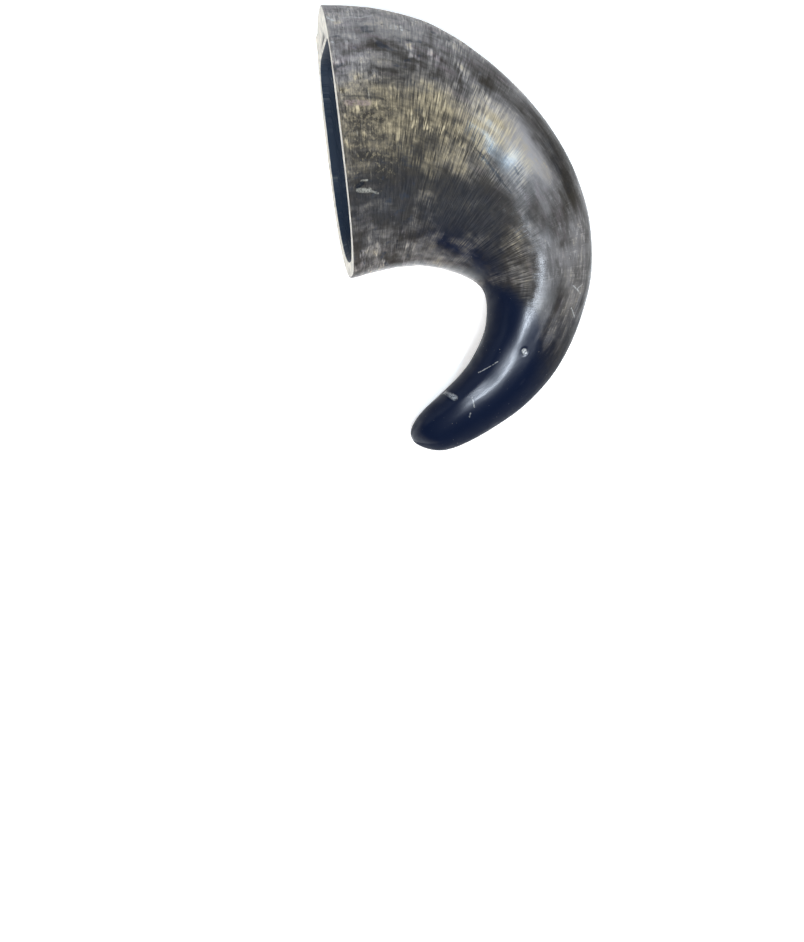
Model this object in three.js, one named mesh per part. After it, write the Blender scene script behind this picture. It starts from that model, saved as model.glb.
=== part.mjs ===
// Water buffalo horn, sawn off square at its base and hollow for the first half of its length.
// Millimetres, +Z up. The horn lies on its side: its curve is in the XY plane and its belly rests on Z = 0.
// The mouth faces -X, and the tip curls round towards -Y and back under the mouth.
import * as THREE from "three";

// ---- Driving dimensions ----

// The horn's sections, from the mouth to the tip. In plan, outer and inner are where a section meets the convex
// and the concave edge. rise is how far the upper face stands above those edges, and belly how far the lower
// face hangs below them. crest is how far the upper face's ridge sits outwards of the middle, as a share of the
// half width.
const STATIONS = [
  { outer: [-27.5, 154.5], inner: [-16.5, 64.5], rise: 17, belly: 27, crest: 0 },
  { outer: [-7, 153.5], inner: [-8, 67], rise: 17.5, belly: 26, crest: 0.03 },
  { outer: [13.5, 146.5], inner: [0, 68.5], rise: 18, belly: 24.5, crest: 0.08 },
  { outer: [35.5, 130.5], inner: [7, 69], rise: 18, belly: 22.5, crest: 0.15 },
  { outer: [52.5, 110.5], inner: [14, 68.5], rise: 17.5, belly: 20.5, crest: 0.2 },
  { outer: [62, 90], inner: [21, 66.5], rise: 16.5, belly: 18.5, crest: 0.18 },
  { outer: [64.5, 69.5], inner: [27.5, 62], rise: 15.5, belly: 16.5, crest: 0.1 },
  { outer: [61, 52], inner: [29, 54], rise: 14, belly: 14.5, crest: -0.05 },
  { outer: [54, 36.5], inner: [27.5, 46], rise: 12.5, belly: 12.5, crest: -0.16 },
  { outer: [42.5, 23], inner: [22.5, 36], rise: 11, belly: 10.5, crest: -0.2 },
  { outer: [28.5, 13], inner: [14, 27], rise: 9.5, belly: 9, crest: -0.2 },
  { outer: [15.5, 7], inner: [6.5, 20.5], rise: 7.5, belly: 7.5, crest: -0.16 },
  { outer: [6, 6], inner: [1, 16.5], rise: 6, belly: 6.5, crest: -0.1 },
];

// The saw cut leans back by MOUTH_LEAN degrees from upright, and sections further in stand straighter.
const MOUTH_LEAN = 8.5;
const LEAN_ENDS_AT = 0.6;

// Superellipse exponents: the mouth is a blunt oblong and the tip is round.
const MOUTH_BLUNTNESS = 2.35;
const TIP_BLUNTNESS = 2.05;

// The tip is rounded off over the last share of the length. A bluntness of 2 makes it an ellipse.
const TIP_ROUNDING_STARTS = 0.87;
const TIP_ROUNDING_BLUNTNESS = 2.3;

// Wall of the mouth at its outer corner, its inner corner and across its two broad faces.
const OUTER_CORNER_WALL = 13;
const INNER_CORNER_WALL = 5.5;
const FACE_WALL = 4.5;

// The bone cavity runs this share of the length, narrowing as it goes.
const CAVITY_ENDS_AT = 0.5;
const CAVITY_FLARE = 1.5;
const CAVITY_ROUNDING = 0.7;

// At the mouth, the end of the cavity that is next to the outer corner is nearly square.
const OUTER_END_BLUNTNESS = 7;

const HORN_COLOUR = 0x4a463f;
const HORN_ROUGHNESS = 0.42;

// Facets: round each section, along the outside and along the cavity.
const SIDES = 48;
const OUTER_RINGS = 58;
const CAVITY_RINGS = 24;

// ---- Shape ----

const clamp01 = (x) => Math.min(1, Math.max(0, x));
const mix = (a, b, share) => a + (b - a) * share;
const smooth = (x) => x * x * (3 - 2 * x);

// A smooth curve through evenly spaced values (a uniform Catmull-Rom spline), at t from 0 to 1.
function through(values, t) {
  const last = values.length - 1;
  const at = (i) => {
    if (i < 0) return 2 * values[0] - values[1];
    if (i > last) return 2 * values[last] - values[last - 1];
    return values[i];
  };
  const whole = Math.min(last - 1, Math.floor(t * last));
  const f = t * last - whole;
  const [a, b, c, d] = [at(whole - 1), at(whole), at(whole + 1), at(whole + 2)];
  return 0.5 * (2 * b + (c - a) * f + (2 * a - 5 * b + 4 * c - d) * f ** 2 + (3 * b - a - 3 * c + d) * f ** 3);
}

const stationValue = (pick, t) => through(STATIONS.map(pick), t);

// The section at t: its middle, its half width vector towards the outer edge, its leaning up vector, its heights
// and what shapes its outline.
function sectionAt(t) {
  const rise = stationValue((s) => s.rise, t);
  const belly = stationValue((s) => s.belly, t);
  const outer = new THREE.Vector3(
    stationValue((s) => s.outer[0], t),
    stationValue((s) => s.outer[1], t),
    belly,
  );
  const inner = new THREE.Vector3(
    stationValue((s) => s.inner[0], t),
    stationValue((s) => s.inner[1], t),
    belly,
  );
  const middle = outer.clone().add(inner).multiplyScalar(0.5);
  const half = outer.clone().sub(middle);
  const onward = new THREE.Vector3(half.y, -half.x, 0).normalize();
  const lean = THREE.MathUtils.degToRad(MOUTH_LEAN * (1 - smooth(clamp01(t / LEAN_ENDS_AT))));
  const up = new THREE.Vector3(0, 0, 1).addScaledVector(onward, Math.tan(lean));
  const bluntness = mix(MOUTH_BLUNTNESS, TIP_BLUNTNESS, t);
  const crest = stationValue((s) => s.crest, t);
  return { middle, half, up, rise, belly, bluntness, crest };
}

// A point of a section at an angle, from the outer edge over the upper face, as shares of its half width and height.
function outlineAt(angle, section) {
  const power = 2 / section.bluntness;
  const upward = Math.sign(Math.sin(angle)) * Math.abs(Math.sin(angle)) ** power;
  const across = Math.sign(Math.cos(angle)) * Math.abs(Math.cos(angle)) ** power;
  return { across: upward > 0 ? across + section.crest * upward ** 2 : across, upward };
}

const ringAngles = Array.from({ length: SIDES }, (_, i) => (2 * Math.PI * i) / SIDES);

// The share of the full section left at t, once the tip is rounded off.
function tipRounding(t) {
  const x = clamp01((t - TIP_ROUNDING_STARTS) / (1 - TIP_ROUNDING_STARTS));
  return (1 - x ** TIP_ROUNDING_BLUNTNESS) ** (1 / TIP_ROUNDING_BLUNTNESS);
}

function outerRing(t) {
  const section = sectionAt(t);
  const size = tipRounding(t);
  return ringAngles.map((angle) => {
    const { across, upward } = outlineAt(angle, section);
    const height = upward > 0 ? section.rise : section.belly;
    return section.middle
      .clone()
      .addScaledVector(section.half, across * size)
      .addScaledVector(section.up, upward * height * size);
  });
}

// The share of the mouth's clear opening left at a share of the cavity's depth.
const cavityTaper = (x) => (1 - x ** CAVITY_FLARE) ** CAVITY_ROUNDING;

function cavityRing(depth) {
  const section = sectionAt(depth * CAVITY_ENDS_AT);
  const taper = cavityTaper(depth);
  const halfWidth = section.half.length();
  const clear = ((halfWidth - (OUTER_CORNER_WALL + INNER_CORNER_WALL) / 2) / halfWidth) * taper;
  const inward = (INNER_CORNER_WALL - OUTER_CORNER_WALL) / 2 / halfWidth;
  const outerEnd = { ...section, bluntness: mix(OUTER_END_BLUNTNESS, section.bluntness, depth) };
  return ringAngles.map((angle) => {
    const { across, upward } = outlineAt(angle, Math.cos(angle) > 0 ? outerEnd : section);
    const height = (upward > 0 ? section.rise : section.belly) - FACE_WALL;
    return section.middle
      .clone()
      .addScaledVector(section.half, across * clear + inward)
      .addScaledVector(section.up, upward * height * taper);
  });
}

// Ring positions: even along the body, and closing up where the tip and the cavity's end are rounded.
function outerPositions() {
  return Array.from({ length: OUTER_RINGS }, (_, i) => {
    const x = i / OUTER_RINGS;
    return mix(x, Math.sin((x * Math.PI) / 2), smooth(x));
  });
}

function cavityPositions() {
  return Array.from({ length: CAVITY_RINGS }, (_, i) => Math.sin(((i / CAVITY_RINGS) * Math.PI) / 2));
}

// ---- Mesh ----

// One closed surface: the outside from mouth to tip, the sawn rim, and the cavity from the mouth to its end.
function hornGeometry() {
  const vertices = [];
  const faces = [];
  const addRing = (ring) => {
    const first = vertices.length;
    vertices.push(...ring);
    return first;
  };
  const join = (from, to) => {
    for (let i = 0; i < SIDES; i++) {
      const next = (i + 1) % SIDES;
      faces.push([from + i, from + next, to + i], [to + i, from + next, to + next]);
    }
  };
  const close = (from, end) => {
    for (let i = 0; i < SIDES; i++) faces.push([from + i, from + ((i + 1) % SIDES), end]);
  };

  const outside = outerPositions().map((t) => addRing(outerRing(t)));
  outside.slice(1).forEach((ring, i) => join(outside[i], ring));
  close(outside.at(-1), addRing([sectionAt(1).middle]));

  const cavity = cavityPositions().map((depth) => addRing(cavityRing(depth)));
  join(cavity[0], outside[0]);
  cavity.slice(1).forEach((ring, i) => join(ring, cavity[i]));
  const end = addRing([sectionAt(CAVITY_ENDS_AT).middle]);
  const deepest = cavity.at(-1);
  for (let i = 0; i < SIDES; i++) faces.push([deepest + ((i + 1) % SIDES), deepest + i, end]);

  const geometry = new THREE.BufferGeometry();
  geometry.setAttribute("position", new THREE.Float32BufferAttribute(vertices.flatMap((v) => v.toArray()), 3));
  geometry.setIndex(faces.flat());
  return geometry;
}

// The origin is under the middle of the horn, on the surface that it rests on.
function centredOnGround(geometry) {
  geometry.computeBoundingBox();
  const { min, max } = geometry.boundingBox;
  geometry.translate(-(min.x + max.x) / 2, -(min.y + max.y) / 2, -min.z);
  geometry.computeVertexNormals();
  return geometry;
}

const keratin = new THREE.MeshStandardMaterial({ color: HORN_COLOUR, roughness: HORN_ROUGHNESS, metalness: 0 });

const horn = new THREE.Mesh(centredOnGround(hornGeometry()), keratin);
horn.name = "buffalo_horn";

const part = new THREE.Group();
part.add(horn);

export default part;
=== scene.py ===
"""A water buffalo horn: sawn off at its base, hollow as far as its bend, and solid and polished at its tip.

The horn is one grown piece. Its skin is lofted from the same sections as the solid that it replaces, and then
it gets the relief, scraped fibres, pigment and polish of real keratin. Its sizes are in millimetres until a
mesh is written. The meshes, the camera and the lights are in metres.
"""

import logging
import math
from collections.abc import Callable
from dataclasses import dataclass, field
from enum import Enum

import bpy
import numpy as np
from mathutils import Matrix, Vector, noise


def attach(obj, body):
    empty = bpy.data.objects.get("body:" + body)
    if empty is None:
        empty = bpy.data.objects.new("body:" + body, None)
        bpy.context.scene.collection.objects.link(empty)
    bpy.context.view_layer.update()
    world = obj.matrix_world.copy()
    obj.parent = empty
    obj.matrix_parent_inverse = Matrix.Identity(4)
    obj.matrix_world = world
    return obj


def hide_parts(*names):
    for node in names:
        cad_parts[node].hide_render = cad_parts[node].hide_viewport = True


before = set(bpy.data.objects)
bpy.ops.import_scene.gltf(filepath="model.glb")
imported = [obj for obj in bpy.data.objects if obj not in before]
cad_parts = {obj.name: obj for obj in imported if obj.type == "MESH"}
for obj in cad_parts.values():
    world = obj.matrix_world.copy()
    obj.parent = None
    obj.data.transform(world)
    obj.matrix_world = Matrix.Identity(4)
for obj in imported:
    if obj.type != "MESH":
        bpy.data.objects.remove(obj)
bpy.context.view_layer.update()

log = logging.getLogger("horn")

MM = 0.001
Triple = tuple[float, float, float]
Span = tuple[float, float]

# The power of a light, for each square metre of it and each unit of its glow.
WATTS_PER_GLOW = 4.0


# ---- Shader maths ----


class Term:
    """A node's output, which can be used in sums as a number is."""

    def __init__(self, graph: "Graph", socket: bpy.types.NodeSocket) -> None:
        """Wraps an output socket."""
        self.graph = graph
        self.socket = socket

    def math(self, operation: str, *inputs: "Term | float") -> "Term":
        """Adds a Math node with the given operation and inputs."""
        return self.graph.node("ShaderNodeMath", {"operation": operation}, dict(enumerate(inputs)))

    def __add__(self, other: "Term | float") -> "Term":
        """Adds a term or a number."""
        return self.math("ADD", self, other)

    __radd__ = __add__

    def __sub__(self, other: "Term | float") -> "Term":
        """Takes a term or a number away."""
        return self.math("SUBTRACT", self, other)

    def __rsub__(self, other: float) -> "Term":
        """Takes this away from a number."""
        return self.math("SUBTRACT", other, self)

    def __mul__(self, other: "Term | float") -> "Term":
        """Multiplies by a term or a number."""
        return self.math("MULTIPLY", self, other)

    __rmul__ = __mul__

    def largest(self, other: "Term | float") -> "Term":
        """Gives the larger of two values."""
        return self.math("MAXIMUM", self, other)

    def held(self) -> "Term":
        """Holds the value between 0 and 1."""
        return self.math("MINIMUM", self.largest(0.0), 1.0)

    def ramp(self, low: float, high: float) -> "Term":
        """Eases from 0 at low to 1 at high, and holds beyond them."""
        settings = {"interpolation_type": "SMOOTHSTEP"}
        return self.graph.node("ShaderNodeMapRange", settings, {0: self, 1: low, 2: high, 3: 0.0, 4: 1.0})


class Graph:
    """Adds nodes to one shader."""

    def __init__(self, tree: bpy.types.NodeTree) -> None:
        """Starts with an empty shader."""
        self.tree = tree
        tree.nodes.clear()

    def node(
        self,
        kind: str,
        settings: dict[str, object],
        inputs: dict[int | str, object],
        output: int | str = 0,
    ) -> Term:
        """Adds a node.

        Args:
            kind: The node's type.
            settings: What to set on the node itself, before its sockets.
            inputs: The value or the link of each socket.
            output: Which output to give back.

        Returns:
            The output as a term.
        """
        made = self.tree.nodes.new(kind)
        for name, value in settings.items():
            setattr(made, name, value)
        for key, value in inputs.items():
            socket = made.inputs[key]
            if isinstance(value, Term):
                self.tree.links.new(value.socket, socket)
            elif socket.type == "RGBA":
                socket.default_value = (*value, 1.0)
            else:
                socket.default_value = value
        return Term(self, made.outputs[output])

    def number(self, name: str) -> Term:
        """Reads a number that is stored on the mesh."""
        return self.node("ShaderNodeAttribute", {"attribute_name": name}, {}, "Fac")

    def place(self, name: str) -> Term:
        """Reads a vector that is stored on the mesh."""
        return self.node("ShaderNodeAttribute", {"attribute_name": name}, {}, "Vector")

    def vector(self, operation: str, a: Term | Triple, b: Term | Triple, output: str = "Vector") -> Term:
        """Adds a Vector Math node on two vectors."""
        return self.node("ShaderNodeVectorMath", {"operation": operation}, {0: a, 1: b}, output)

    def scaled(self, a: Term | Triple, by: Term | float) -> Term:
        """Scales a vector."""
        return self.node("ShaderNodeVectorMath", {"operation": "SCALE"}, {0: a, "Scale": by}, "Vector")

    def grain(
        self, place: Term, across: float, along: float, detail: float = 2.0, rough: float = 0.5
    ) -> Term:
        """Adds noise that is centred on zero.

        Args:
            place: Where to read the noise, in millimetres, with the third number along the horn.
            across: The size of the noise's features round the horn.
            along: The size of the noise's features along the horn.
            detail: How many finer layers of noise are added.
            rough: How strong each finer layer is.

        Returns:
            The noise, from about -0.5 to 0.5.
        """
        sized = self.vector("MULTIPLY", place, (1 / across, 1 / across, 1 / along))
        inputs = {"Vector": sized, "Scale": 1.0, "Detail": detail, "Roughness": rough}
        return self.node("ShaderNodeTexNoise", {}, inputs) - 0.5

    def strayed(self, place: Term, size: float, by: float) -> Term:
        """Moves places about, so that what is drawn on them gets ragged edges.

        Args:
            place: The places in millimetres.
            size: How far apart two places are that stray on their own.
            by: How far a place strays at most.

        Returns:
            The places that they stray to.
        """
        sized = self.scaled(place, 1 / size)
        stray = self.node("ShaderNodeTexNoise", {}, {"Vector": sized, "Scale": 1.0, "Detail": 2.0}, "Color")
        centred = self.vector("SUBTRACT", stray, (0.5, 0.5, 0.5))
        return self.vector("ADD", place, self.scaled(centred, 2 * by))

    def mix(self, share: Term | float, a: Term | Triple, b: Term | Triple) -> Term:
        """Mixes two colours."""
        return self.node("ShaderNodeMix", {"data_type": "RGBA"}, {0: share, 6: a, 7: b}, 2)

    def bump(self, height_mm: Term) -> Term:
        """Turns a height in millimetres into a normal."""
        inputs = {"Height": height_mm, "Distance": MM, "Strength": 1.0}
        return self.node("ShaderNodeBump", {}, inputs, "Normal")

    def finish(self, surface: Term, output: str = "ShaderNodeOutputMaterial") -> None:
        """Links the surface to the shader's output."""
        made = self.tree.nodes.new(output)
        self.tree.links.new(surface.socket, made.inputs["Surface"])


def new_material(name: str) -> tuple[bpy.types.Material, Graph]:
    """Makes an empty material.

    Args:
        name: The material's name.

    Returns:
        The material and the graph that fills it.
    """
    material = bpy.data.materials.new(name)
    material.use_nodes = True
    return material, Graph(material.node_tree)


# ---- The horn's form ----


def smooth(x: np.ndarray) -> np.ndarray:
    """Eases a share from 0 to 1, and holds it there beyond that range."""
    x = np.clip(x, 0.0, 1.0)
    return x * x * (3.0 - 2.0 * x)


def eased(x: np.ndarray, start: float | np.ndarray, end: float | np.ndarray) -> np.ndarray:
    """Eases from 0 at start to 1 at end, which may be the lower of the two."""
    return smooth((x - start) / (end - start))


def through(values: np.ndarray, t: np.ndarray) -> np.ndarray:
    """Runs a uniform Catmull-Rom spline through evenly spaced values.

    Args:
        values: The values from t = 0 to t = 1.
        t: Where to read the spline.

    Returns:
        The spline's value at each t.
    """
    last = len(values) - 1
    padded = np.concatenate([[2 * values[0] - values[1]], values, [2 * values[-1] - values[-2]]])
    whole = np.minimum(last - 1, np.floor(t * last).astype(int))
    f = t * last - whole
    a, b, c, d = (padded[whole + i] for i in range(4))
    return 0.5 * (2 * b + (c - a) * f + (2 * a - 5 * b + 4 * c - d) * f**2 + (3 * b - a - 3 * c + d) * f**3)


def grain_at(growth: np.ndarray, across: float, along: float, seed: float = 0.0) -> np.ndarray:
    """Reads smooth noise on the horn's growth coordinates.

    Args:
        growth: Growth coordinates in millimetres, with the three numbers last.
        across: The size of the noise's features round the horn.
        along: The size of the noise's features along the horn.
        seed: An offset that gives a different noise.

    Returns:
        The noise at each place, from about -1 to 1.
    """
    sized = growth.reshape(-1, 3) / np.array([across, across, along]) + seed
    values = np.fromiter((noise.noise(Vector(p)) for p in sized), float, len(sized))
    return values.reshape(growth.shape[:-1])


@dataclass(frozen=True)
class Swell:
    """Smooth relief: how far it stands out, and how large its features are round and along the horn."""

    height: float
    across: float
    along: float
    seed: float = 0.0

    def over(self, growth: np.ndarray) -> np.ndarray:
        """Gives the relief's height at each place, in millimetres."""
        return self.height * grain_at(growth, self.across, self.along, self.seed)


@dataclass(frozen=True)
class Station:
    """One section of the horn.

    In plan, outer and inner are where the section meets the convex and the concave edge. rise is how far
    the upper face stands above those edges, and belly how far the lower face hangs below them. crest is how
    far the upper face's ridge sits outwards of the middle, as a share of the half width.
    """

    outer: tuple[float, float]
    inner: tuple[float, float]
    rise: float
    belly: float
    crest: float


STATIONS = (
    Station(outer=(-27.5, 154.5), inner=(-16.5, 64.5), rise=17, belly=27, crest=0),
    Station(outer=(-7, 153.5), inner=(-8, 67), rise=17.5, belly=26, crest=0.03),
    Station(outer=(13.5, 146.5), inner=(0, 68.5), rise=18, belly=24.5, crest=0.08),
    Station(outer=(35.5, 130.5), inner=(7, 69), rise=18, belly=22.5, crest=0.15),
    Station(outer=(52.5, 110.5), inner=(14, 68.5), rise=17.5, belly=20.5, crest=0.2),
    Station(outer=(62, 90), inner=(21, 66.5), rise=16.5, belly=18.5, crest=0.18),
    Station(outer=(64.5, 69.5), inner=(27.5, 62), rise=15.5, belly=16.5, crest=0.1),
    Station(outer=(61, 52), inner=(29, 54), rise=14, belly=14.5, crest=-0.05),
    Station(outer=(54, 36.5), inner=(27.5, 46), rise=12.5, belly=12.5, crest=-0.16),
    Station(outer=(42.5, 23), inner=(22.5, 36), rise=11, belly=10.5, crest=-0.2),
    Station(outer=(28.5, 13), inner=(14, 27), rise=9.5, belly=9, crest=-0.2),
    Station(outer=(15.5, 7), inner=(6.5, 20.5), rise=7.5, belly=7.5, crest=-0.16),
    Station(outer=(6, 6), inner=(1, 16.5), rise=6, belly=6.5, crest=-0.1),
)


@dataclass
class HornForm:
    """The smooth form of the horn: its sections, the rounding of its tip, and its hollow."""

    mouth_lean: float = 8.5
    lean_ends_at: float = 0.6
    mouth_bluntness: float = 2.35
    tip_bluntness: float = 2.05
    tip_rounding_starts: float = 0.87
    tip_rounding_bluntness: float = 2.3
    outer_corner_wall: float = 13
    inner_corner_wall: float = 5.5
    face_wall: float = 4.5
    hollow_ends_at: float = 0.5
    hollow_flare: float = 1.5
    hollow_rounding: float = 0.7
    outer_end_bluntness: float = 7
    samples_along: int = 500
    samples_round: int = 721
    moved_by: np.ndarray = field(default_factory=lambda: np.zeros(3))

    def __post_init__(self) -> None:
        """Puts the form's middle over the origin and its belly on the ground, and measures it."""
        self.t = np.linspace(0, 1, self.samples_along)
        rings = self.outside(self.t, np.linspace(0, 2 * math.pi, self.samples_round))
        low, high = rings.reshape(-1, 3).min(axis=0), rings.reshape(-1, 3).max(axis=0)
        self.moved_by = -np.array([(low[0] + high[0]) / 2, (low[1] + high[1]) / 2, low[2]])
        steps = np.linalg.norm(np.diff(self.middles(self.t), axis=0), axis=1)
        self.along = np.concatenate([[0], np.cumsum(steps)])
        self.girth_radius = np.linalg.norm(np.diff(rings, axis=1), axis=2).sum(axis=1) / (2 * math.pi)

    def rail(self, pick: Callable[[Station], float], t: np.ndarray) -> np.ndarray:
        """Reads one of the stations' sizes at shares of the way along."""
        return through(np.array([float(pick(s)) for s in STATIONS]), t)

    def outer_edge(self, t: np.ndarray) -> np.ndarray:
        """Gives the convex edge in plan."""
        return np.stack([self.rail(lambda s: s.outer[0], t), self.rail(lambda s: s.outer[1], t)], axis=1)

    def inner_edge(self, t: np.ndarray) -> np.ndarray:
        """Gives the concave edge in plan."""
        return np.stack([self.rail(lambda s: s.inner[0], t), self.rail(lambda s: s.inner[1], t)], axis=1)

    def middles(self, t: np.ndarray) -> np.ndarray:
        """Gives the middle of the section at each share of the way along."""
        plan = (self.outer_edge(t) + self.inner_edge(t)) / 2
        return np.concatenate([plan, self.rail(lambda s: s.belly, t)[:, None]], axis=1)

    def tip_rounding(self, t: np.ndarray) -> np.ndarray:
        """Gives the share of the full section that is left once the tip is rounded off."""
        x = np.clip((t - self.tip_rounding_starts) / (1 - self.tip_rounding_starts), 0, 1)
        return (1 - x**self.tip_rounding_bluntness) ** (1 / self.tip_rounding_bluntness)

    def bluntness(self, t: np.ndarray) -> np.ndarray:
        """Gives how blunt the outside's section is at each t."""
        return self.mouth_bluntness + (self.tip_bluntness - self.mouth_bluntness) * t[:, None]

    def outlines(
        self, t: np.ndarray, angles: np.ndarray, bluntness: np.ndarray
    ) -> tuple[np.ndarray, np.ndarray]:
        """Draws each section's outline.

        Args:
            t: The sections' shares of the way along, one for each row.
            angles: The angles from the convex edge over the upper face, one for each column.
            bluntness: The superellipse exponent of each row or point.

        Returns:
            How far out and how far up each point is, as shares of the half width and of the rise or belly.
        """
        power = 2 / bluntness
        upward = np.sign(np.sin(angles)) * np.abs(np.sin(angles)) ** power
        across = np.sign(np.cos(angles)) * np.abs(np.cos(angles)) ** power
        crest = self.rail(lambda s: s.crest, t)[:, None]
        return across + np.where(upward > 0, crest * upward**2, 0), upward

    def heights(self, t: np.ndarray, upward: np.ndarray) -> np.ndarray:
        """Gives the rise or the belly that applies to each point."""
        rise, belly = self.rail(lambda s: s.rise, t), self.rail(lambda s: s.belly, t)
        return np.where(upward > 0, rise[:, None], belly[:, None])

    def placed(self, t: np.ndarray, across: np.ndarray, height: np.ndarray) -> np.ndarray:
        """Places points on the leaning sections.

        Args:
            t: The sections' shares of the way along, one for each row.
            across: How far out each point is, as a share of the half width.
            height: How far each point is above the section's edges.

        Returns:
            The points, as rows by columns by three.
        """
        middle = self.middles(t)
        half = self.outer_edge(t) - middle[:, :2]
        onward = np.stack([half[:, 1], -half[:, 0]], axis=1)
        onward /= np.linalg.norm(onward, axis=1)[:, None]
        lean = np.tan(np.radians(self.mouth_lean * (1 - smooth(t / self.lean_ends_at))))
        plan = middle[:, None, :2] + half[:, None] * across[..., None]
        plan = plan + onward[:, None] * (lean[:, None] * height)[..., None]
        return np.concatenate([plan, (middle[:, None, 2] + height)[..., None]], axis=2) + self.moved_by

    def outside(self, t: np.ndarray, angles: np.ndarray) -> np.ndarray:
        """Draws the outside.

        Args:
            t: The sections' shares of the way along, one for each row.
            angles: The angles from the convex edge over the upper face, one for each column.

        Returns:
            The outside's points, as rows by columns by three.
        """
        across, upward = self.outlines(t, angles, self.bluntness(t))
        size = self.tip_rounding(t)[:, None]
        return self.placed(t, across * size, upward * self.heights(t, upward) * size)

    def hollow(self, depth: np.ndarray, angles: np.ndarray) -> np.ndarray:
        """Draws the hollow's wall.

        Args:
            depth: The shares of the hollow's depth, one for each row.
            angles: The angles from the convex edge over the upper face, one for each column.

        Returns:
            The wall's points, as rows by columns by three.
        """
        t = depth * self.hollow_ends_at
        plain = self.bluntness(t)
        outer_end = self.outer_end_bluntness + (plain - self.outer_end_bluntness) * depth[:, None]
        across, upward = self.outlines(t, angles, np.where(np.cos(angles) > 0, outer_end, plain))
        taper = ((1 - depth**self.hollow_flare) ** self.hollow_rounding)[:, None]
        span = np.linalg.norm(self.outer_edge(t) - self.inner_edge(t), axis=1)[:, None]
        clear = (span - self.outer_corner_wall - self.inner_corner_wall) / span * taper
        inward = (self.inner_corner_wall - self.outer_corner_wall) / span
        clear_height = (self.heights(t, upward) - self.face_wall) * taper
        return self.placed(t, across * clear + inward, upward * clear_height)

    def middle_point(self, t: float) -> np.ndarray:
        """Gives the middle of one section."""
        return self.placed(np.array([t]), np.zeros((1, 1)), np.zeros((1, 1)))[0, 0]

    def growth(self, t: np.ndarray, rings: np.ndarray) -> tuple[np.ndarray, np.ndarray]:
        """Gives growth coordinates, in which the horn is unbent into a straight round cone.

        Args:
            t: Each ring's share of the way along.
            rings: The rings' points, as rows by columns by three.

        Returns:
            The growth coordinates in millimetres, the third along the horn, and the points' degrees round.
        """
        steps = np.linalg.norm(np.roll(rings, -1, axis=1) - rings, axis=2)
        run = np.cumsum(steps, axis=1) - steps
        half = rings.shape[1] // 2
        top = run[:, half : half + 1]
        whole = run[:, -1:] + steps[:, -1:]
        over_the_top = np.arange(rings.shape[1]) < half
        degrees = 180 * np.where(over_the_top, run / top, 1 + (run - top) / (whole - top))
        radius = whole / (2 * math.pi)
        along = np.broadcast_to(np.interp(t, self.t, self.along)[:, None], degrees.shape)
        turn = np.radians(degrees)
        return np.stack([radius * np.cos(turn), radius * np.sin(turn), along], axis=2), degrees

    def growth_point(self, along: float, degrees: float) -> np.ndarray:
        """Finds a place on the outside.

        Args:
            along: Millimetres from the mouth along the horn's middle.
            degrees: Degrees round from the convex edge over the upper face.

        Returns:
            The place's growth coordinates in millimetres.
        """
        radius = float(np.interp(along, self.along, self.girth_radius))
        turn = math.radians(degrees)
        return np.array([radius * math.cos(turn), radius * math.sin(turn), along])


# ---- What the years, the saw and the knife left on the skin ----


@dataclass(frozen=True)
class Patch:
    """A soft-edged area of the skin that adds value at its middle.

    along is millimetres from the mouth along the horn's middle. round is degrees: 0 at the convex edge, 90
    at the middle of the upper face, 180 at the concave edge and 270 at the middle of the belly.
    """

    along: float
    round: float
    length: float
    breadth: float
    value: float

    def over(self, along: np.ndarray, degrees: np.ndarray) -> np.ndarray:
        """Gives what the patch adds at each place."""
        away = (((degrees - self.round + 180) % 360 - 180) / self.breadth) ** 2
        return self.value * np.exp(-(((along - self.along) / self.length) ** 2) - away)


def summed(patches: tuple[Patch, ...], along: np.ndarray, degrees: np.ndarray) -> np.ndarray:
    """Adds up what all of the patches add at each place."""
    return sum(patch.over(along, degrees) for patch in patches)


class Tone(Enum):
    """How a mark's colour differs from the horn round it."""

    PALE = (0.50, 0.47, 0.42)
    BONE = (0.38, 0.34, 0.27)
    PINK = (0.34, 0.235, 0.205)
    DULL = (0.27, 0.265, 0.26)
    # DARK is the dark of pits, slits and cracks, partly painted shade in their hollows.
    DARK = (0.012, 0.013, 0.016)


@dataclass(frozen=True)
class Stroke:
    """A scratch, crack, chip or pit: a line through points of millimetres along and degrees round."""

    points: tuple[tuple[float, float], ...]
    width: float
    tone: Tone
    strength: float = 1.0
    depth: float = 0.0
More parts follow.
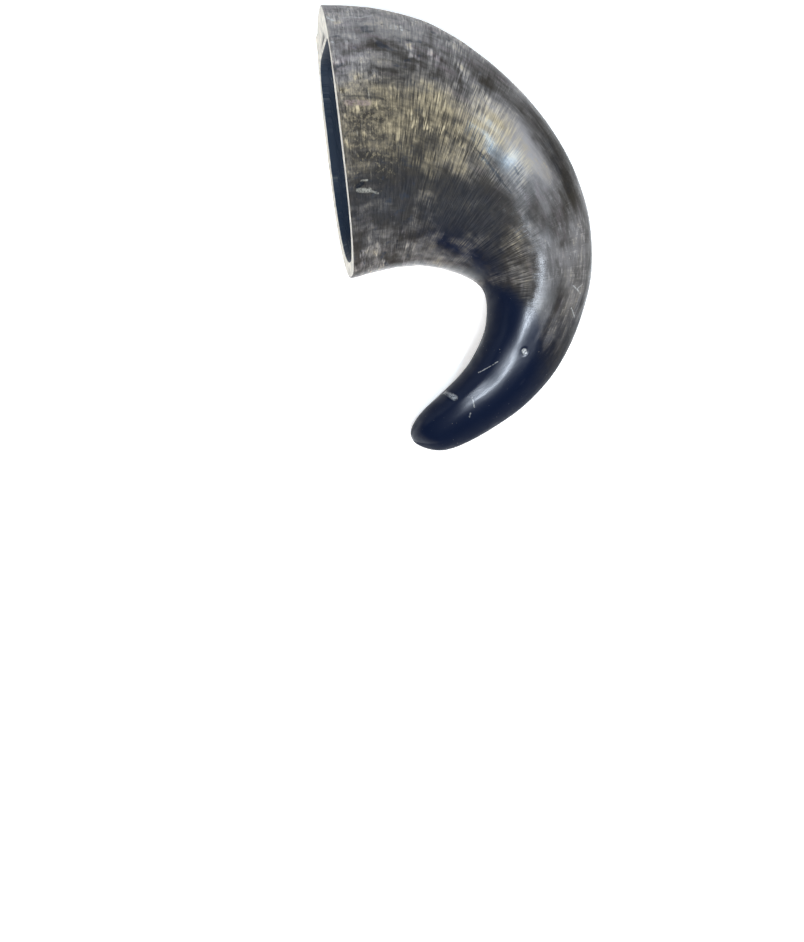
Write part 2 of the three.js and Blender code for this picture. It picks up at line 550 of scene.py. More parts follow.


# How much pale scraped fibre shows, and in the patches marked below also painted sheen. It is added to the
# skin's ground.
SCRAPED_AND_SHEEN = (
    # This patch and the next lie along the convex edge near the mouth: pale fibre and painted sheen of the
    # horizon.
    Patch(along=0, round=12, length=16, breadth=22, value=0.48),
    Patch(along=28, round=5, length=32, breadth=34, value=0.45),
    Patch(along=9, round=44, length=12, breadth=5, value=-0.12),
    Patch(along=26, round=54, length=12, breadth=7, value=-0.06),
    Patch(along=8, round=76, length=22, breadth=20, value=0.15),
    Patch(along=4, round=50, length=7, breadth=16, value=0.4),
    Patch(along=13, round=66, length=6, breadth=16, value=-0.25),
    Patch(along=25, round=69, length=9, breadth=10, value=-0.26),
    Patch(along=23, round=100, length=10, breadth=12, value=-0.16),
    Patch(along=52, round=73, length=7, breadth=8, value=-0.2),
    Patch(along=36, round=71, length=17, breadth=14, value=0.30),
    # Pale fibre and painted sheen: a bright haze on the crest round the highlight.
    Patch(along=53, round=60, length=12, breadth=12, value=0.95),
    Patch(along=60, round=32, length=18, breadth=18, value=-0.26),
    Patch(along=66, round=46, length=9, breadth=9, value=-0.35),
    Patch(along=82, round=54, length=20, breadth=26, value=0.28),
    Patch(along=18, round=126, length=32, breadth=26, value=-0.34),
    Patch(along=58, round=130, length=15, breadth=10, value=-0.4),
    Patch(along=54, round=146, length=16, breadth=11, value=-0.35),
    Patch(along=47, round=117, length=11, breadth=15, value=-0.28),
    Patch(along=61, round=122, length=12, breadth=22, value=-0.55),
    Patch(along=82, round=146, length=14, breadth=24, value=-0.4),
    Patch(along=78, round=106, length=13, breadth=13, value=0.03),
    Patch(along=112, round=40, length=26, breadth=60, value=-0.4),
    Patch(along=100, round=86, length=12, breadth=9, value=0.15),
    Patch(along=30, round=270, length=50, breadth=70, value=0.2),
)

# How tan, rather than grey, the fibre is.
WARMTH = (
    Patch(along=12, round=84, length=24, breadth=20, value=0.7),
    Patch(along=38, round=74, length=16, breadth=18, value=0.7),
    # Tints the painted sheen round the highlight.
    Patch(along=57, round=62, length=10, breadth=10, value=0.3),
    Patch(along=76, round=108, length=16, breadth=14, value=0.35),
    Patch(along=24, round=112, length=28, breadth=14, value=0.45),
    Patch(along=30, round=270, length=46, breadth=50, value=0.5),
)

# How polished the skin is, apart from the tip.
POLISH = (
    Patch(along=52, round=70, length=12, breadth=14, value=0.75),
    Patch(along=66, round=80, length=14, breadth=14, value=0.65),
    Patch(along=56, round=156, length=24, breadth=16, value=0.9),
    Patch(along=66, round=43, length=11, breadth=11, value=-0.35),
    Patch(along=96, round=84, length=20, breadth=13, value=1.1),
    Patch(along=30, round=182, length=40, breadth=22, value=0.8),
    Patch(along=78, round=160, length=22, breadth=30, value=0.6),
    Patch(along=62, round=180, length=16, breadth=24, value=1.0),
)

# Where the fibre's relief and contrast are worn smooth, apart from the tip.
WORN = (
    # Smooths the convex edge near the mouth, which is partly painted sheen.
    Patch(along=14, round=30, length=34, breadth=28, value=0.62),
    # Smooths the painted sheen round the highlight.
    Patch(along=55, round=60, length=12, breadth=16, value=0.7),
    Patch(along=52, round=160, length=26, breadth=16, value=0.8),
)

STROKES = (
    Stroke(points=((3.7, 122), (5.7, 120.4)), width=1.15, tone=Tone.DARK, depth=0.9),
    Stroke(points=((5.3, 119.1), (7.5, 119.2)), width=0.5, tone=Tone.BONE, strength=0.6),
    Stroke(points=((3.8, 123.9), (6.1, 124.6), (8.4, 124.8)), width=1.1, tone=Tone.BONE, strength=0.7),
    Stroke(points=((8.6, 125.2), (11.7, 127)), width=0.5, tone=Tone.BONE, strength=0.5),
    Stroke(points=((2.6, 75.8), (9.0, 76.6)), width=1.4, tone=Tone.PINK, strength=0.5),
    Stroke(points=((2.2, 72), (7.5, 72.6), (13.4, 74)), width=0.6, tone=Tone.DARK, strength=0.5),
    Stroke(points=((22.4, 154.6), (22.6, 159.4)), width=0.4, tone=Tone.DARK, depth=0.4),
    Stroke(points=((44.3, 82), (52.8, 86), (58.1, 88), (61.9, 88)), width=0.36, tone=Tone.DARK, strength=0.7),
    Stroke(
        points=((46.5, 83.1), (52.8, 86), (57, 87.6)),
        width=0.75,
        tone=Tone.DARK,
        strength=0.8,
        depth=0.15,
    ),
    Stroke(points=((57.6, 73.4), (59.4, 74.4)), width=0.6, tone=Tone.DARK, strength=0.7),
    Stroke(points=((115.9, 84.5), (116.5, 82)), width=0.95, tone=Tone.PALE, depth=0.25),
    Stroke(points=((94.6, 53), (95.8, 44), (96.6, 38)), width=0.3, tone=Tone.PALE, strength=0.5),
    Stroke(points=((95.2, 45), (94.2, 39)), width=0.25, tone=Tone.PALE, strength=0.4),
    Stroke(points=((100.6, 46), (102.8, 33)), width=0.3, tone=Tone.PALE, strength=0.5),
    Stroke(points=((130.2, 124), (123.2, 109)), width=0.25, tone=Tone.PALE, strength=0.5),
    Stroke(points=((144.0, 172), (143.2, 122)), width=1.5, tone=Tone.DULL, depth=0.5),
    Stroke(points=((139.0, 99), (141.0, 82)), width=0.3, tone=Tone.PALE, strength=0.4),
    Stroke(points=((143.4, 77), (144.6, 71)), width=0.3, tone=Tone.PALE, strength=0.4),
    Stroke(points=((0.4, 23), (1.8, 25.5)), width=0.5, tone=Tone.PALE),
    Stroke(points=((0.3, 40), (0.8, 40.3)), width=0.4, tone=Tone.PALE, strength=0.7),
    Stroke(
        points=((4.2, 23.4), (6.2, 22.6), (8.6, 23.2), (11.5, 21)),
        width=0.4,
        tone=Tone.PALE,
        strength=0.4,
    ),
    Stroke(points=((15.8, 27.4), (15.9, 30)), width=0.3, tone=Tone.PALE, strength=0.5),
    Stroke(points=((17.1, 27), (17.2, 29.6)), width=0.3, tone=Tone.PALE, strength=0.5),
    Stroke(points=((18.4, 26.4), (18.6, 29.4)), width=0.45, tone=Tone.PALE, strength=0.8),
)


# ---- Finishes ----


@dataclass(frozen=True)
class Keratin:
    """The outside: dark keratin under pale scraped fibre, which runs out towards the polished tip."""

    # black is the keratin's near-black; its navy tint is painted reflection of blue skylight.
    black: Triple = (0.004, 0.0072, 0.019)
    umber: Triple = (0.014, 0.014, 0.016)
    brown: Triple = (0.034, 0.027, 0.0195)
    grey: Triple = (0.44, 0.39, 0.36)
    rose: Triple = (0.42, 0.335, 0.325)
    tan: Triple = (0.57, 0.44, 0.26)
    fleck: Triple = (0.66, 0.58, 0.46)
    stain: Triple = (0.024, 0.030, 0.042)
    rough_skin: float = 0.5
    polished_skin: float = 0.3
    polish_roughness: float = 0.19
    polish_ior: float = 1.35
    shine: float = 0.05
    ior: float = 1.55
    stroke_core: float = 0.35

    def stroke_mask(self, graph: Graph, place: Term, form: HornForm, stroke: Stroke) -> Term:
        """Masks a stroke.

        Args:
            graph: The shader to add to.
            place: The growth coordinates.
            form: The form that the stroke lies on.
            stroke: The stroke.

        Returns:
            The stroke's strength along its middle, fading to 0 at its width.
        """
        points = [form.growth_point(*point) for point in stroke.points]
        distances = []
        for a, b in zip(points, points[1:]):
            run = b - a
            offset = graph.vector("SUBTRACT", place, tuple(a))
            share = graph.vector("DOT_PRODUCT", offset, tuple(run / (run @ run)), "Value").held()
            distances.append(graph.vector("DISTANCE", offset, graph.scaled(tuple(run), share), "Value"))
        nearest = distances[0]
        for distance in distances[1:]:
            nearest = nearest.math("MINIMUM", nearest, distance)
        return stroke.strength * (1 - nearest.ramp(stroke.width * self.stroke_core, stroke.width))

    def material(self, form: HornForm) -> bpy.types.Material:
        """Builds the material for the outside.

        Args:
            form: The form that the strokes lie on.

        Returns:
            The material, which reads the growth coordinates and the painted values of the mesh.
        """
        material, graph = new_material("keratin_outside")
        place = graph.place("growth")
        # scraped is pale fibre, and in some patches and the grey band also painted sheen.
        scraped, warmth = graph.number("scraped"), graph.number("warmth")
        polish, sheen, worn = graph.number("polish"), graph.number("sheen"), graph.number("worn")
        band, layered = graph.number("band"), graph.number("layered")
        wavy = graph.strayed(place, size=6, by=0.8)
        near = 1 - graph.node("ShaderNodeSeparateXYZ", {}, {0: place}, "Z").ramp(9, 26)

        fibre = graph.grain(place, across=6.5, along=0.5, detail=2, rough=0.55)
        hair = graph.grain(place, across=4.5, along=0.3, detail=1)
        dash = graph.grain(place, across=0.7, along=5, detail=2, rough=0.6)
        streak = graph.grain(wavy, across=1.5, along=13, detail=3, rough=0.6)
        mottle = graph.grain(wavy, across=3.4, along=4.2, detail=3, rough=0.6)
        cloud = graph.grain(place, across=9, along=14, detail=2)
        ring = graph.grain(place, across=45, along=2.6, detail=2)
        brushed = graph.grain(place, across=2.0, along=38, detail=3, rough=0.6)
        bared = (3.0 * scraped).held()
        tanned = graph.grain(wavy, across=5, along=4, detail=2).ramp(0.04, 0.28) * layered * bared
        stained = (graph.grain(wavy, across=3.1, along=4, detail=2) + 0.2 * fibre).ramp(0.12, 0.22) * layered

        blotchy = (0.45 + 0.6 * layered) * (0.35 + 0.65 * bared) * mottle
        blotchy = blotchy + (0.5 + 0.1 * layered) * streak + 0.9 * tanned
        banded = 0.8 * brushed + 0.4 * streak + 0.3 * mottle
        cover = scraped + blotchy + band * (banded - blotchy) + 1.5 * cloud + (0.2 + 0.15 * layered) * ring
        crosswise = (fibre + 0.7 * hair).ramp(-0.2, 0.22)
        lengthwise = (dash + 0.3 * hair).ramp(-0.02, 0.26)
        frayed = graph.grain(wavy, across=1.9, along=0.7, detail=3, rough=0.65).ramp(-0.16, 0.2)
        crosswise = crosswise + 0.55 * near * (frayed - crosswise)
        lines = crosswise + band * (lengthwise - crosswise)
        patchy = (0.65 + 1.8 * graph.grain(place, across=5, along=4, detail=2)).held()
        least = (0.01 + 0.06 * patchy) * (1 - polish) * (1 - 0.6 * worn) * lines
        pale = least + cover.ramp(-0.1, 1.1) * (0.66 + patchy * (1 - worn) * (1.5 * lines - 0.78))
        warm = (warmth + 1.3 * cloud + 0.9 * mottle + 0.3 * lines + 0.5 * tanned).ramp(0.1, 1.1)
        deep = graph.mix(polish, self.umber, self.black)
        ground = graph.mix((scraped + 0.2 * warmth + 0.6 * mottle).ramp(-0.25, 0.35), deep, self.brown)
        rosy = (streak - 0.9 * cloud).ramp(0.02, 0.3)
        fibres = graph.mix(warm, graph.mix(rosy, self.grey, self.rose), self.tan)
        colour = graph.mix(pale, ground, fibres)
        colour = graph.mix(stained * (0.5 - 0.35 * warm), colour, self.stain)
        flecks = (hair + 0.7 * fibre + 0.3 * scraped).ramp(0.34, 0.5) * (1 - polish)
        colour = graph.mix(flecks * 0.4 * (1 - worn), colour, self.fleck)
        grimy = graph.grain(place, across=1.7, along=1.4, detail=3, rough=0.65)
        grime = (grimy + 0.3 * mottle).ramp(0.1, 0.3) * (0.3 + 0.35 * near) * (1 - polish)
        colour = graph.mix(grime, colour, self.brown)
        chalky = graph.grain(wavy, across=1.5, along=1.1, detail=3, rough=0.65)
        colour = graph.mix((chalky + 0.25 * warmth).ramp(0.16, 0.34) * 0.3 * near, colour, self.tan)
        dust = graph.grain(place, across=0.5, along=0.6, detail=1).ramp(0.27, 0.33)
        colour = graph.mix(dust * polish * 0.3, colour, self.fleck)

        ragged = graph.strayed(place, size=0.9, by=0.16)
        broken = graph.grain(place, across=0.5, along=0.7, detail=2).ramp(-0.2, 0.06)
        for tone in Tone:
            strokes = [stroke for stroke in STROKES if stroke.tone is tone]
            masks = [self.stroke_mask(graph, ragged, form, stroke) for stroke in strokes]
            mask = masks[0]
            for other in masks[1:]:
                mask = mask.largest(other)
            mask = mask * (0.4 + 0.6 * broken if tone is Tone.DARK else broken)
            colour = graph.mix(mask, colour, tone.value)

        gloss = (sheen + 0.8 * mottle + 0.5 * streak - 0.45 * lines * (1 - polish)).ramp(-0.05, 1.0)
        scratch = graph.grain(place, across=0.4, along=12, detail=3, rough=0.65)
        coat = gloss * (0.8 + 1.3 * scratch).held()
        roughness = self.rough_skin + (self.polished_skin - self.rough_skin) * gloss
        height = (0.10 * fibre + 0.05 * hair + 0.07 * streak) * (1 - 0.85 * polish) + 0.02 * mottle
        inputs = {
            "Base Color": colour,
            "Roughness": roughness,
            "IOR": self.ior,
            "Specular IOR Level": self.shine,
            "Coat Weight": coat,
            "Coat Roughness": self.polish_roughness,
            "Coat IOR": self.polish_ior,
            "Normal": graph.bump(height),
        }
        graph.finish(graph.node("ShaderNodeBsdfPrincipled", {}, inputs))
        return material


@dataclass(frozen=True)
class SawnRim:
    """The saw cut: pale, matt and ridged, with painted shade in its nick."""

    pale: Triple = (0.96, 0.88, 0.73)
    dull: Triple = (0.60, 0.55, 0.47)
    nick_shade: Triple = (0.05, 0.045, 0.04)
    roughness: float = 0.7

    def material(self) -> bpy.types.Material:
        """Builds the material for the cut face.

        Returns:
            The material, which reads where the nick is on the mesh and paints shade into it.
        """
        material, graph = new_material("sawn_rim")
        in_mm = graph.scaled(graph.node("ShaderNodeTexCoord", {}, {}, "Object"), 1 / MM)
        saw = graph.grain(in_mm, across=3.0, along=0.3, detail=2)
        blotch = graph.grain(in_mm, across=3.0, along=3.0, detail=3)
        colour = graph.mix((saw + 1.2 * blotch).ramp(-0.25, 0.25), self.dull, self.pale)
        # Painted shade: the nick's recess is darkened.
        colour = graph.mix(graph.number("nick"), colour, self.nick_shade)
        bump = graph.bump(0.12 * saw + 0.05 * blotch)
        inputs = {"Base Color": colour, "Roughness": self.roughness, "Normal": bump}
        graph.finish(graph.node("ShaderNodeBsdfPrincipled", {}, inputs))
        return material


@dataclass(frozen=True)
class HollowWall:
    """The wall of the hollow: dark and bluish at the mouth, partly as painted shade, and mottled grey further
    in.
    """

    dark: Triple = (0.006, 0.018, 0.038)
    pale: Triple = (0.20, 0.21, 0.19)
    roughness: float = 0.6

    def material(self) -> bpy.types.Material:
        """Builds the material for the hollow.

        Returns:
            The material, which reads the growth coordinates of the mesh.
        """
        material, graph = new_material("hollow_wall")
        place = graph.place("growth")
        streak = graph.grain(place, across=1.6, along=8, detail=3)
        blotch = graph.grain(place, across=6, along=9, detail=3)
        along = graph.node("ShaderNodeSeparateXYZ", {}, {0: place}, "Z")
        # Partly painted shade: the wall is darker near the mouth, where it lies in shade, and paler further
        # in.
        cover = along.ramp(3, 26) * 0.55 + 1.3 * streak + 1.6 * blotch
        colour = graph.mix(cover.ramp(0.15, 0.8), self.dark, self.pale)
        bump = graph.bump(0.3 * streak + 0.4 * blotch)
        inputs = {"Base Color": colour, "Roughness": self.roughness, "Normal": bump}
        graph.finish(graph.node("ShaderNodeBsdfPrincipled", {}, inputs))
        return material


# ---- The horn ----


class Slot(Enum):
    """The mesh's material slots. A face between two kinds of ring takes the lower one."""

    OUTSIDE = 0
    RIM = 1
    WALL = 2


@dataclass
class Horn:
    """The horn as one closed mesh: its outside, its sawn rim and its hollow.

    A Span that something is eased over says where that starts and where it is complete, in millimetres along
    the horn or in degrees round it. The other Spans are a least and a most.
    """

    form: HornForm
    columns: int = 256
    outside_rings: int = 330
    hollow_rings: int = 36
    rim_rings: int = 15
    edge_rings: int = 3
    outer_edge_round: float = 0.55
    hollow_edge_round: float = 0.4
    relief_starts: Span = (0.6, 4.0)
    fibre_reaches_most_at: float = 10
    fibre_ends: Span = (88, 122)
    fibre_fades_over: Span = (6, 20)
    fibre_end_bend: float = 1.3
    band_starts: Span = (34, 56)
    band_reach: Span = (45, 87)
    band_widens: Span = (45, 79)
    band_edge: float = 8
    band_polish: float = 0.35
    band_wear: float = 0.55
    inner_side_starts: Span = (112, 142)
    inner_side_ends: Span = (260, 240)
    outer_side_starts: Span = (300, 330)
    outer_side_ends: float = 50
    underside_starts: Span = (200, 230)
    steep_from: Span = (78, 90)
    outer_steep_from: Span = (100, 116)
    sheen_lost_where_steep: float = 0.9
    layers_fade: Span = (52, 22)
    lumps: Swell = Swell(height=0.42, across=22, along=26)
    bumps: Swell = Swell(height=0.2, across=8, along=12, seed=7.3)
    facets: Swell = Swell(height=0.17, across=3.6, along=15, seed=3.1)
    facets_polished_off: float = 0.85
    waves: Swell = Swell(height=0.14, across=50, along=5, seed=5.7)
    waves_fade: Span = (85, 40)
    groove_floor: float = 0.3
    groove_reach: float = 1.2
    burr_at: float = 331
    burr_height: float = 0.8
    burr_breadth: float = 1.1
    nick_at: float = 0
    nick_reach: float = 2.6
    nick_blend: float = 1.5
    nick_starts: float = 0.1
    nick_length: float = 0.2
    nick_depth: float = 0.3
    bare_skin: float = 0.28
    bare_band_and_sheen: float = 0.36
    bare_tip: float = -0.35
    least_bare: float = -0.15
    keratin: Keratin = field(default_factory=Keratin)
    rim: SawnRim = field(default_factory=SawnRim)
    wall: HollowWall = field(default_factory=HollowWall)

    def tip_share(self, along: np.ndarray, degrees: np.ndarray) -> np.ndarray:
        """Finds where the skin is polished away to black, which reaches furthest back on the concave side.

        Args:
            along: Millimetres from the mouth along the horn's middle.
            degrees: Degrees round from the convex edge over the upper face.

        Returns:
            1 on the polished tip and 0 on the fibrous skin.
        """
        convex = (1 + np.cos(np.radians(degrees - self.fibre_reaches_most_at))) / 2
        ends = self.fibre_ends[0] + (self.fibre_ends[1] - self.fibre_ends[0]) * convex**self.fibre_end_bend
        least, most = self.fibre_fades_over
        return smooth((along - ends) / (least + (most - least) * convex) + 0.5)

    def band_share(self, along: np.ndarray, degrees: np.ndarray) -> np.ndarray:
        """Finds the smooth grey band along the convex edge, partly painted sheen, that widens at the bend.

        Args:
            along: Millimetres from the mouth along the horn's middle.
            degrees: Degrees round from the convex edge over the upper face.

        Returns:
            1 on the band and 0 off it.
        """
        turn = np.abs((degrees + 180) % 360 - 180)
        narrow, wide = self.band_reach
        reach = narrow + (wide - narrow) * eased(along, *self.band_widens)
        inside = eased(turn, reach + self.band_edge, reach - self.band_edge)
        return inside * eased(along, *self.band_starts)

    def painted(self, along: np.ndarray, degrees: np.ndarray) -> dict[str, np.ndarray]:
        """Works out what the shader reads at each point.

        Args:
            along: Millimetres from the mouth along the horn's middle.
            degrees: Degrees round from the convex edge over the upper face.

        Returns:
            By name, how much pale fibre shows, with painted sheen in places (scraped), how tan it is
            (warmth), how polished the skin is (polish), how much of that shines (sheen), how smoothly the
            fibre is worn (worn), the grey band, which is partly painted sheen (band), and where the growth
            layers show near the mouth (layered).
        """
        tip = self.tip_share(along, degrees)
        band = self.band_share(along, degrees)
        beyond = eased(along, *self.steep_from)
        inside = eased(degrees, *self.inner_side_starts) * eased(degrees, *self.inner_side_ends) * beyond
        round_again = np.where(degrees < self.outer_side_ends, degrees + 360, degrees)
        outside = eased(round_again, *self.outer_side_starts) * eased(along, *self.outer_steep_from)
        under = eased(degrees, *self.underside_starts) * beyond
        steep = np.maximum(inside, np.maximum(outside, under))
        polish = tip + (self.band_polish * band + summed(POLISH, along, degrees)) * (1 - tip)
        polish = np.clip(polish, 0, 1)
        # bare is pale fibre, with painted sheen in some patches and in the grey band.
        bare = self.bare_skin + (self.bare_band_and_sheen - self.bare_skin) * band + summed(SCRAPED_AND_SHEEN, along, degrees)
        return {
            "scraped": np.maximum(bare, self.least_bare) * (1 - tip) + self.bare_tip * tip,
            "warmth": summed(WARMTH, along, degrees) * (1 - tip),
            "polish": polish,
            "sheen": polish * (1 - self.sheen_lost_where_steep * steep),
            "worn": np.clip(self.band_wear * band + summed(WORN, along, degrees), 0, 1),
            "band": band,
            "layered": eased(along, *self.layers_fade) * np.ones_like(degrees),
        }

    def relief(self, growth: np.ndarray, polish: np.ndarray) -> np.ndarray:
        """Shapes the skin's lumps, facets, growth waves and cut strokes.

        Args:
            growth: The growth coordinates of the skin's points.
            polish: How polished the skin is at each point.

        Returns:
            How far each point stands out from the smooth form, in millimetres.
        """
        along = growth[..., 2]
        facets = self.facets.over(growth) * (1 - self.facets_polished_off * polish)
        waves = self.waves.over(growth) * eased(along, *self.waves_fade)
        height = self.lumps.over(growth) + self.bumps.over(growth) + facets + waves
        for stroke in STROKES:
            if stroke.depth > 0:
                height = height - stroke.depth * self.groove(growth, stroke)
        return height * eased(along, *self.relief_starts)

    def groove(self, growth: np.ndarray, stroke: Stroke) -> np.ndarray:
        """Cuts a stroke's groove.

        Args:
            growth: The growth coordinates of the skin's points.
            stroke: The stroke.

        Returns:
            1 along the stroke's middle, fading to 0 a little outside its width.
        """
        points = [self.form.growth_point(*point) for point in stroke.points]
        nearest = np.full(growth.shape[:-1], np.inf)
        for a, b in zip(points, points[1:]):
            run = b - a
            share = np.clip((growth - a) @ run / (run @ run), 0, 1)
            nearest = np.minimum(nearest, np.linalg.norm(growth - a - share[..., None] * run, axis=2))
        return eased(nearest / stroke.width, self.groove_reach, self.groove_floor)

    def positions(self) -> np.ndarray:
        """Spaces the outside rings, which close up where the tip is rounded.

        Returns:
            The rings' shares of the way along.
        """
        x = np.arange(1, self.outside_rings) / self.outside_rings
        ease = smooth(x)
        return x * (1 - ease) + np.sin(x * math.pi / 2) * ease

    def normals(self, rings: np.ndarray) -> np.ndarray:
        """Works out which way the skin faces.

        Args:
            rings: The rings' points, as rows by columns by three.

        Returns:
            The outward normals, in the same layout.
        """
        round_step = np.roll(rings, -1, axis=1) - np.roll(rings, 1, axis=1)
        along_step = np.gradient(rings, axis=0)
        normal = np.cross(round_step, along_step)
        return normal / np.maximum(np.linalg.norm(normal, axis=2, keepdims=True), 1e-9)

    def nick(self, share: float, degrees_round: np.ndarray) -> np.ndarray:
        """Finds the small three-cornered nick in the rim.

        Args:
            share: The share of the way from the hollow outwards.
            degrees_round: The degrees round of the points of the rim's ring at that share.

        Returns:
            1 in the nick and 0 off it.
        """
        reach = self.nick_reach * (1 - (share - self.nick_starts) / self.nick_length)
        turn = np.abs((degrees_round - self.nick_at + 180) % 360 - 180)
        inside = self.nick_starts <= share <= self.nick_starts + self.nick_length
        return smooth((reach - turn) / self.nick_blend + 0.5) * inside

    def bent(self, start: np.ndarray, corner: np.ndarray, end: np.ndarray) -> list[np.ndarray]:
        """Rounds a corner between two rings, leaving the two rings out."""
        shares = [(i + 1) / (self.edge_rings + 1) for i in range(self.edge_rings)]
        return [(1 - u) ** 2 * start + 2 * u * (1 - u) * corner + u**2 * end for u in shares]

    def build(self) -> bpy.types.Object:
        """Builds the mesh, its painted values and its materials.

        Returns:
            The horn's object.
        """
        angles = np.arange(self.columns) * 2 * math.pi / self.columns
        t = self.positions()
        skin = self.form.outside(t, angles)
        growth, degrees = self.form.growth(t, skin)
        painted = self.painted(growth[..., 2], degrees)
        skin = skin + self.normals(skin) * self.relief(growth, painted["polish"])[..., None]
        skin[..., 2] = np.maximum(skin[..., 2], 0)

        mouth = self.form.outside(np.zeros(1), angles)[0]
        into = np.cross(mouth[len(mouth) // 4] - mouth[0], mouth[len(mouth) // 2] - mouth[0])
        into /= np.linalg.norm(into)
        degrees_round = np.degrees(angles)
        burr = self.burr_height * np.exp(-(((degrees_round - self.burr_at) / self.burr_breadth) ** 2))
        mouth = mouth - into * burr[:, None]
        depth = np.sin(np.arange(1, self.hollow_rings) / self.hollow_rings * math.pi / 2)
        cave = self.form.hollow(depth, angles)
        lip = self.form.hollow(np.zeros(1), angles)[0]
        inward = lip - mouth
        inward /= np.linalg.norm(inward, axis=1)[:, None]
        face_outer = mouth + inward * self.outer_edge_round
        face_inner = lip - inward * self.hollow_edge_round
        shares = np.linspace(0, 1, self.rim_rings)
        nick = np.array([self.nick(share, degrees_round) for share in shares])
        face = face_inner + (face_outer - face_inner) * shares[:, None, None]
        face = face + into * (self.nick_depth * nick)[..., None]
        cave_edge = self.bent(cave[0], lip, face_inner)
        skin_edge = self.bent(face_outer, mouth, skin[0])
        log.info("outside %d rings, rim %d rings, hollow %d rings", len(skin), len(face), len(cave))

        rings = np.array([*cave[::-1], *cave_edge, *face, *skin_edge, *skin])
        slots = [Slot.WALL] * (len(cave) + len(cave_edge)) + [Slot.RIM] * len(face)
        slots += [Slot.OUTSIDE] * (len(skin_edge) + len(skin))
        cave_growth, _ = self.form.growth(depth * self.form.hollow_ends_at, cave)
        rim_growth = [growth[0] * [1, 1, 0]] * (len(cave_edge) + len(face) + len(skin_edge))
        all_growth = np.concatenate([cave_growth[::-1], rim_growth, growth])
        values = {
            name: np.concatenate([np.repeat(grid[:1], len(rings) - len(skin), axis=0), grid])
            for name, grid in painted.items()
        }
        # Where the nick is, which the rim's shader darkens as painted shade.
        values["nick"] = np.zeros_like(values["band"])
        before = len(cave) + len(cave_edge)
        values["nick"][before : before + len(face)] = nick
        deep_end = self.form.middle_point(self.form.hollow_ends_at)
        tip_end = self.form.middle_point(1.0)
        return self.meshed(rings, slots, all_growth, values, deep_end, tip_end)

    def meshed(
        self,
        rings: np.ndarray,
        slots: list[Slot],
        growth: np.ndarray,
        values: dict[str, np.ndarray],
        deep_end: np.ndarray,
        tip_end: np.ndarray,
    ) -> bpy.types.Object:
        """Joins the rings into one closed mesh.

        Args:
            rings: All rings, from the deep end of the hollow out over the rim to the tip.
            slots: Each ring's material slot.
            growth: The growth coordinates of the rings' points.
            values: The painted values of the rings' points.
            deep_end: The point that closes the hollow.
            tip_end: The point that closes the tip.

        Returns:
            The horn's object.
        """
        count, columns = rings.shape[:2]
        points = np.concatenate([rings.reshape(-1, 3), [deep_end, tip_end]]) * MM
        at = np.arange(columns)
        after = (at + 1) % columns
        faces = []
        for ring in range(count - 1):
            first, second = ring * columns, (ring + 1) * columns
            faces += np.stack([first + at, first + after, second + after, second + at], axis=1).tolist()
        last = (count - 1) * columns
        faces += np.stack([after, at, np.full(columns, count * columns)], axis=1).tolist()
        faces += np.stack([last + at, last + after, np.full(columns, count * columns + 1)], axis=1).tolist()

        mesh = bpy.data.meshes.new("horn")
        mesh.from_pydata(points.tolist(), [], faces)
        for material in (self.keratin.material(self.form), self.rim.material(), self.wall.material()):
            mesh.materials.append(material)
        ring_slots = np.array([slot.value for slot in slots])
        between = np.minimum(ring_slots[:-1], ring_slots[1:])
        ends = [Slot.WALL.value, Slot.OUTSIDE.value]
        indices = np.repeat(np.concatenate([between, ends]), columns)
        mesh.polygons.foreach_set("material_index", indices.astype(np.int32))

        end_growth = np.array([growth[0].mean(axis=0), growth[-1].mean(axis=0)])
        stored = mesh.attributes.new("growth", "FLOAT_VECTOR", "POINT")
        stored.data.foreach_set("vector", np.concatenate([growth.reshape(-1, 3), end_growth]).ravel())
        for name, grid in values.items():
            stored = mesh.attributes.new(name, "FLOAT", "POINT")
            stored.data.foreach_set("value", np.concatenate([grid.ravel(), [grid[0, 0], grid[-1, 0]]]))
        mesh.shade_smooth()
        mesh.validate()
        horn = bpy.data.objects.new("horn", mesh)
        bpy.context.scene.collection.objects.link(horn)
        return horn


# ---- Stage ----


@dataclass(frozen=True)
class Softbox:
    """A soft light.

    lean is how many degrees it stands from straight above towards +X and +Y, seen from what it lights. turn
    is its long side's degrees from +X towards +Y.
    """

    lean: tuple[float, float]
    size: tuple[float, float]
    turn: float
    glow: float
    distance: float = 1.05
    colour: Triple = (0.80, 0.885, 1.0)

    def hang(self, name: str, aim: Vector) -> None:
        """Hangs the light.

        Args:
            name: The light's name.
            aim: The place that it points at.
        """
        away = Vector((*(math.tan(math.radians(degrees)) for degrees in self.lean), 1.0)).normalized()
        heading = Vector((math.cos(math.radians(self.turn)), math.sin(math.radians(self.turn)), 0.0))
        sideways = away.cross(heading).normalized()
        light = bpy.data.lights.new(name, "AREA")
        light.shape = "RECTANGLE"
        light.size, light.size_y = self.size
        light.energy = WATTS_PER_GLOW * self.glow * self.size[0] * self.size[1]
        light.color = self.colour
        lamp = bpy.data.objects.new(name, light)
        axes = Matrix((sideways.cross(away), sideways, away)).transposed()
        lamp.matrix_world = Matrix.Translation(aim + away * self.distance) @ axes.to_4x4()
        bpy.context.scene.collection.objects.link(lamp)


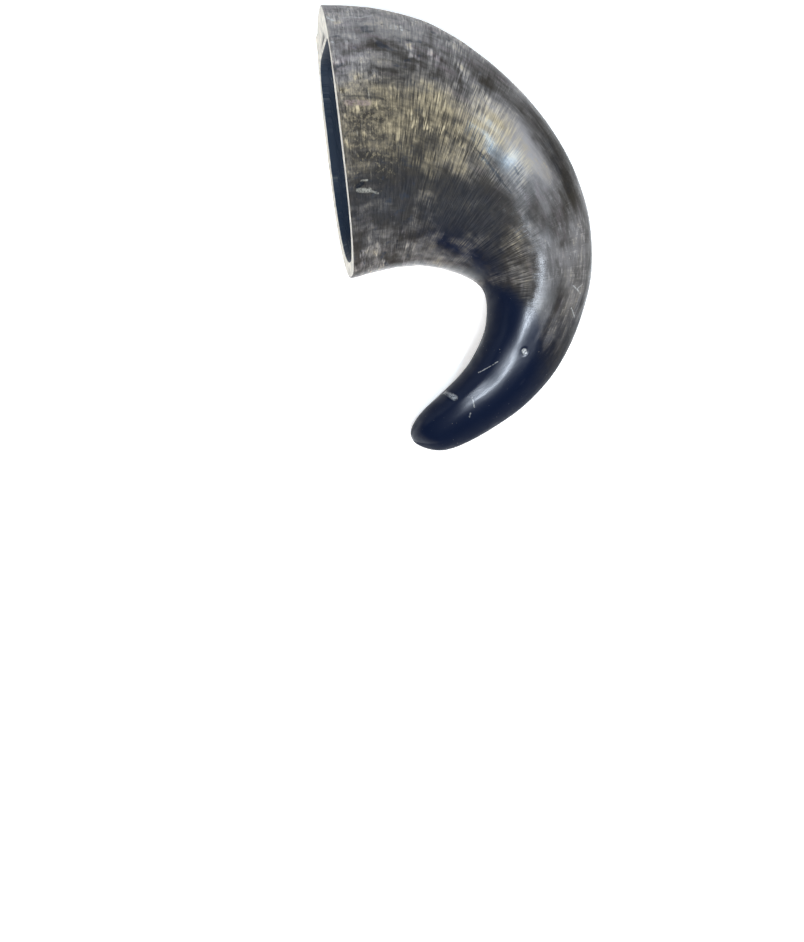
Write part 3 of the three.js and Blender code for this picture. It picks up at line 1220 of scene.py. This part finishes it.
@dataclass(frozen=True)
class Studio:
    """The pale floor, the soft lights overhead and the camera that looks straight down."""

    floor_size: float = 12.0
    floor_colour: Triple = (0.97, 0.92, 0.86)
    floor_roughness: float = 0.9
    floor_glow: float = 0.48
    camera_at: Triple = (-0.01768, -0.08078, 0.5)
    lens: float = 54.3
    camera_clips: Span = (0.01, 50.0)
    lamp_aim: Triple = (0.02, 0.0, 0.03)
    softboxes: tuple[Softbox, ...] = (
        Softbox(lean=(20, 12), size=(0.36, 0.20), turn=80, glow=6),
        Softbox(lean=(16, -6), size=(0.36, 0.10), turn=55, glow=9),
        Softbox(lean=(19.6, 15.5), size=(0.16, 0.08), turn=80, glow=66, colour=(0.48, 0.75, 1.0)),
        Softbox(lean=(2, -23), size=(0.32, 0.03), turn=32, glow=150),
        Softbox(lean=(-12.5, -16), size=(0.38, 0.03), turn=128, glow=62),
        Softbox(lean=(-6, -20), size=(0.70, 0.24), turn=100, glow=3.4),
        Softbox(lean=(17, -28), size=(0.36, 0.20), turn=-33, glow=4.5),
        Softbox(lean=(-52, 20), size=(0.8, 0.8), turn=0, glow=0.42),
    )
    sky_low: Triple = (0.80, 0.80, 0.80)
    sky_high: Triple = (0.02, 0.03, 0.06)
    sky_darkens: Span = (0.1, 0.3)

    def floor(self) -> bpy.types.Object:
        """Builds the floor.

        Returns:
            The floor's object.
        """
        material, graph = new_material("pale_floor")
        inputs = {
            "Base Color": self.floor_colour,
            "Roughness": self.floor_roughness,
            "Emission Color": self.floor_colour,
            "Emission Strength": self.floor_glow,
        }
        graph.finish(graph.node("ShaderNodeBsdfPrincipled", {}, inputs))
        half = self.floor_size / 2
        corners = [(-half, -half, 0), (half, -half, 0), (half, half, 0), (-half, half, 0)]
        mesh = bpy.data.meshes.new("floor")
        mesh.from_pydata(corners, [], [(0, 1, 2, 3)])
        mesh.materials.append(material)
        floor = bpy.data.objects.new("floor", mesh)
        bpy.context.scene.collection.objects.link(floor)
        return floor

    def sky(self) -> None:
        """Fills the room with light that is pale at the horizon and dark blue overhead."""
        world = bpy.data.worlds.new("room")
        world.use_nodes = True
        graph = Graph(world.node_tree)
        way = graph.node("ShaderNodeTexCoord", {}, {}, "Generated")
        upward = graph.node("ShaderNodeSeparateXYZ", {}, {0: way}, "Z")
        colour = graph.mix(upward.ramp(*self.sky_darkens), self.sky_low, self.sky_high)
        graph.finish(graph.node("ShaderNodeBackground", {}, {"Color": colour}), "ShaderNodeOutputWorld")
        bpy.context.scene.world = world

    def lamps(self) -> None:
        """Hangs the soft lights."""
        for number, softbox in enumerate(self.softboxes):
            softbox.hang(f"softbox_{number}", Vector(self.lamp_aim))

    def camera(self) -> None:
        """Sets the camera straight above, with its top towards +Y."""
        data = bpy.data.cameras.new("camera")
        data.lens = self.lens
        data.clip_start, data.clip_end = self.camera_clips
        camera = bpy.data.objects.new("camera", data)
        camera.location = self.camera_at
        bpy.context.scene.collection.objects.link(camera)
        bpy.context.scene.camera = camera

    def build(self) -> bpy.types.Object:
        """Builds the stage.

        Returns:
            The floor's object.
        """
        self.sky()
        self.lamps()
        self.camera()
        bpy.context.scene.view_settings.view_transform = "Standard"
        return self.floor()


def main() -> None:
    """Builds the stage and the horn."""
    logging.basicConfig(level=logging.INFO, format="%(name)s: %(message)s")
    Studio().build()
    log.info("stage built")
    horn = Horn(HornForm()).build()
    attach(horn, "root")
    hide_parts("buffalo_horn")
    log.info("horn built with %d faces", len(horn.data.polygons))


if __name__ == "__main__":
    main()
